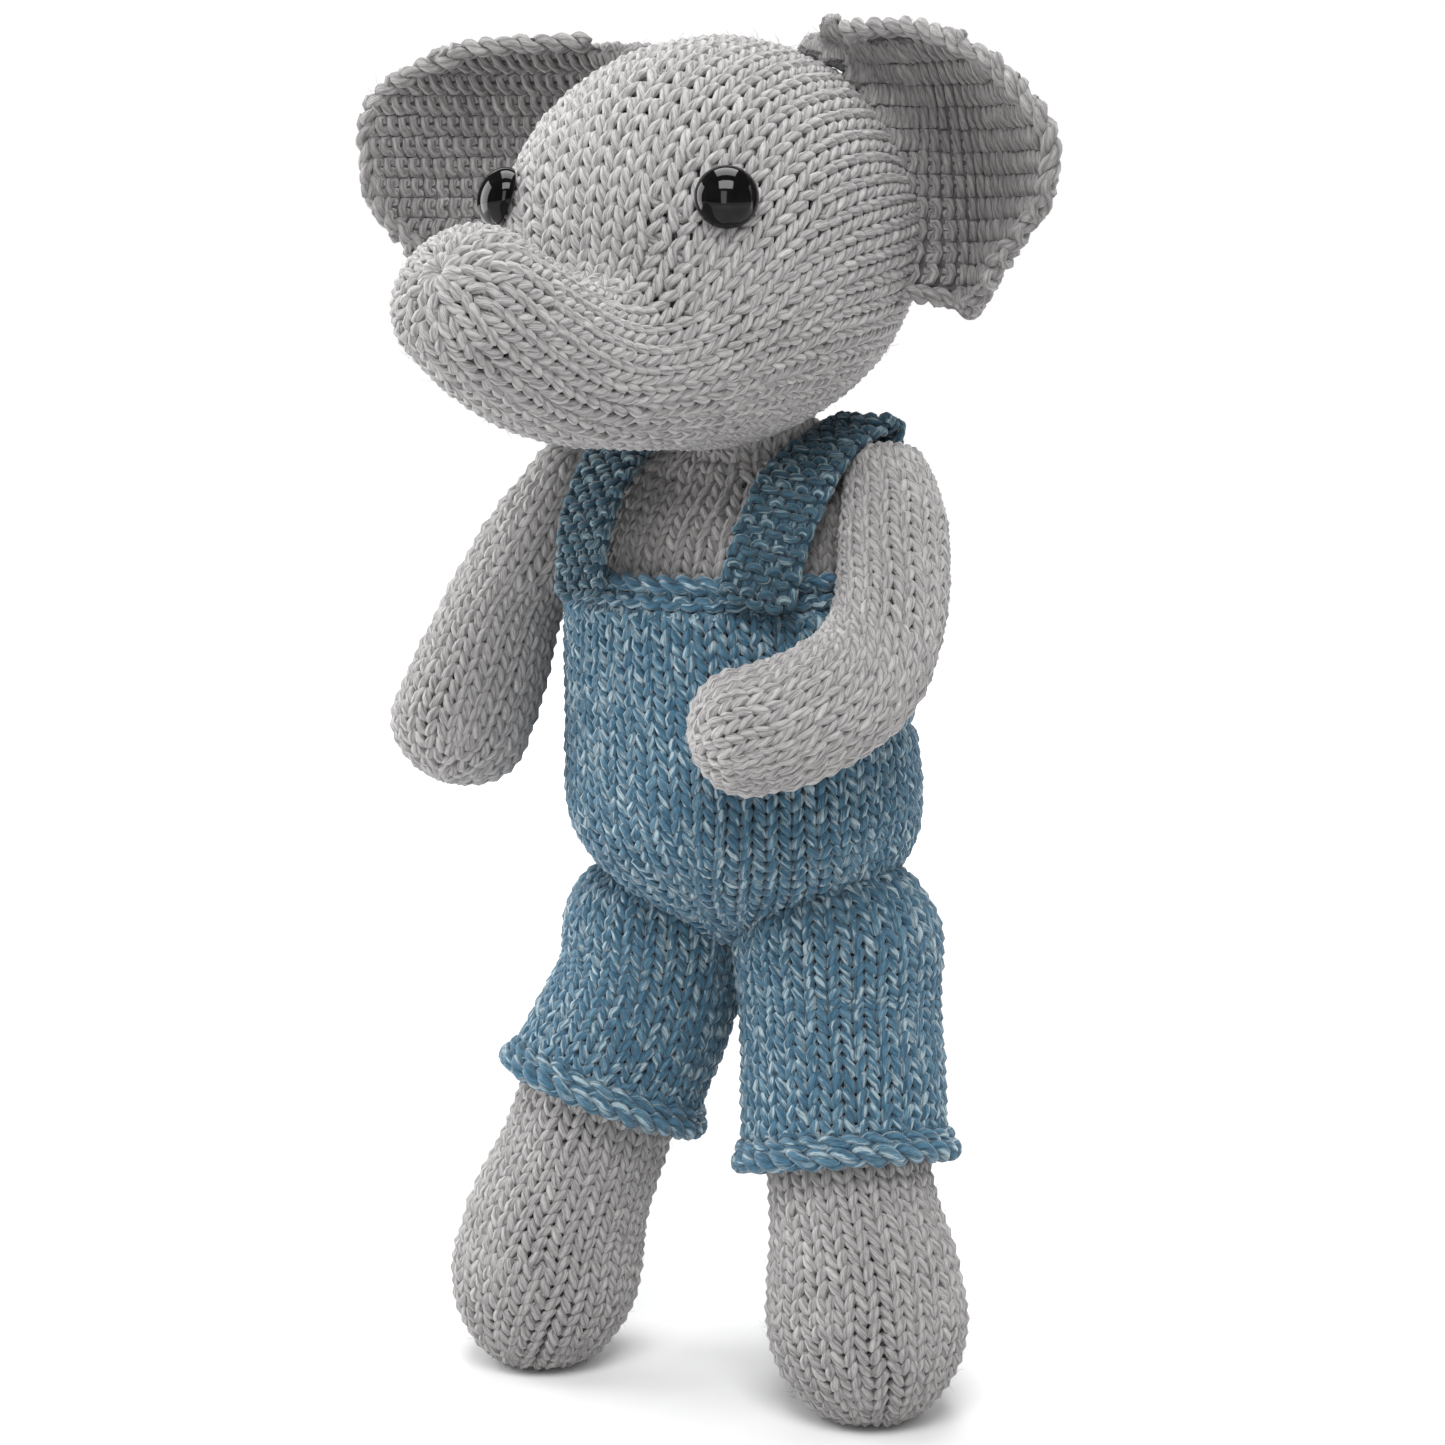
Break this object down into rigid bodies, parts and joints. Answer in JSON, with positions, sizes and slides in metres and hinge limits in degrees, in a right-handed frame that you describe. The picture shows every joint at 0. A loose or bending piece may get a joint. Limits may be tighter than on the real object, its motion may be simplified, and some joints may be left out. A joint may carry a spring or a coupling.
{
  "type": "stuffed toy elephant",
  "caption": "Hand-knitted stuffed elephant standing in knitted dungarees, with a sewn-on head, hinged arms, legs and ears, and safety eyes",
  "frame": {"origin": "centre of the bounding box in plan, on the plane of the soles", "axes": "the toy stands along +Z, looks along -Y, and +X is its own left"},
  "size_m": [0.162, 0.1308, 0.2695],
  "materials": {
    "grey_knit": "hand-knitted marled grey yarn, slightly fuzzy",
    "blue_knit": "hand-knitted flecked denim-blue yarn",
    "filling": "polyester toy filling",
    "eye_black": "glossy black",
    "washer_white": "plain moulded"
  },
  "bodies": {
    "torso": {"torso_skin": "grey_knit", "torso_stuffing": "filling", "dungarees_top": "blue_knit", "left_strap": "blue_knit", "right_strap": "blue_knit"},
    "neck": {"neck_seam": "grey_knit"},
    "head": {"head_skin": "grey_knit", "head_stuffing": "filling", "left_eye": "eye_black", "right_eye": "eye_black", "left_eye_washer": "washer_white", "right_eye_washer": "washer_white"},
    "left_ear": {"left_ear": "grey_knit"},
    "right_ear": {"right_ear": "grey_knit"},
    "left_arm": {"left_arm_skin": "grey_knit", "left_arm_stuffing": "filling"},
    "right_arm": {"right_arm_skin": "grey_knit", "right_arm_stuffing": "filling"},
    "left_leg": {"left_leg_skin": "grey_knit", "left_leg_stuffing": "filling", "dungarees_left_leg": "blue_knit"},
    "right_leg": {"right_leg_skin": "grey_knit", "right_leg_stuffing": "filling", "dungarees_right_leg": "blue_knit"}
  },
  "joints": [
    {"name": "neck_turn", "type": "hinge", "parent": "torso", "child": "neck", "pos_m": [0.00685, 0.03312, 0.1864], "axis": [0, 0, 1], "range_deg": [-35, 45]},
    {"name": "head_nod", "type": "hinge", "parent": "neck", "child": "head", "pos_m": [0.00685, 0.03312, 0.1864], "axis": [0.9877, -0.1564, 0], "range_deg": [-15, 6]},
    {"name": "left_ear_fold", "type": "hinge", "parent": "head", "child": "left_ear", "pos_m": [0.04185, 0.03312, 0.241], "axis": [0.4257, 0.152, -0.892], "range_deg": [-25, 25]},
    {"name": "right_ear_fold", "type": "hinge", "parent": "head", "child": "right_ear", "pos_m": [-0.02815, 0.03312, 0.241], "axis": [-0.4172, 0.2484, -0.8742], "range_deg": [-25, 25]},
    {"name": "left_arm_lift", "type": "hinge", "parent": "torso", "child": "left_arm", "pos_m": [0.04035, 0.03412, 0.1805], "axis": [0, -1, 0], "range_deg": [0, 80]},
    {"name": "right_arm_swing", "type": "hinge", "parent": "torso", "child": "right_arm", "pos_m": [-0.03165, 0.03312, 0.1805], "axis": [-1, 0, 0], "range_deg": [-30, 55]},
    {"name": "left_hip", "type": "hinge", "parent": "torso", "child": "left_leg", "pos_m": [0.02545, 0.03212, 0.078], "axis": [-1, 0, 0], "range_deg": [-20, 65]},
    {"name": "right_hip", "type": "hinge", "parent": "torso", "child": "right_leg", "pos_m": [-0.01175, 0.03212, 0.078], "axis": [-1, 0, 0], "range_deg": [-20, 65]}
  ]
}
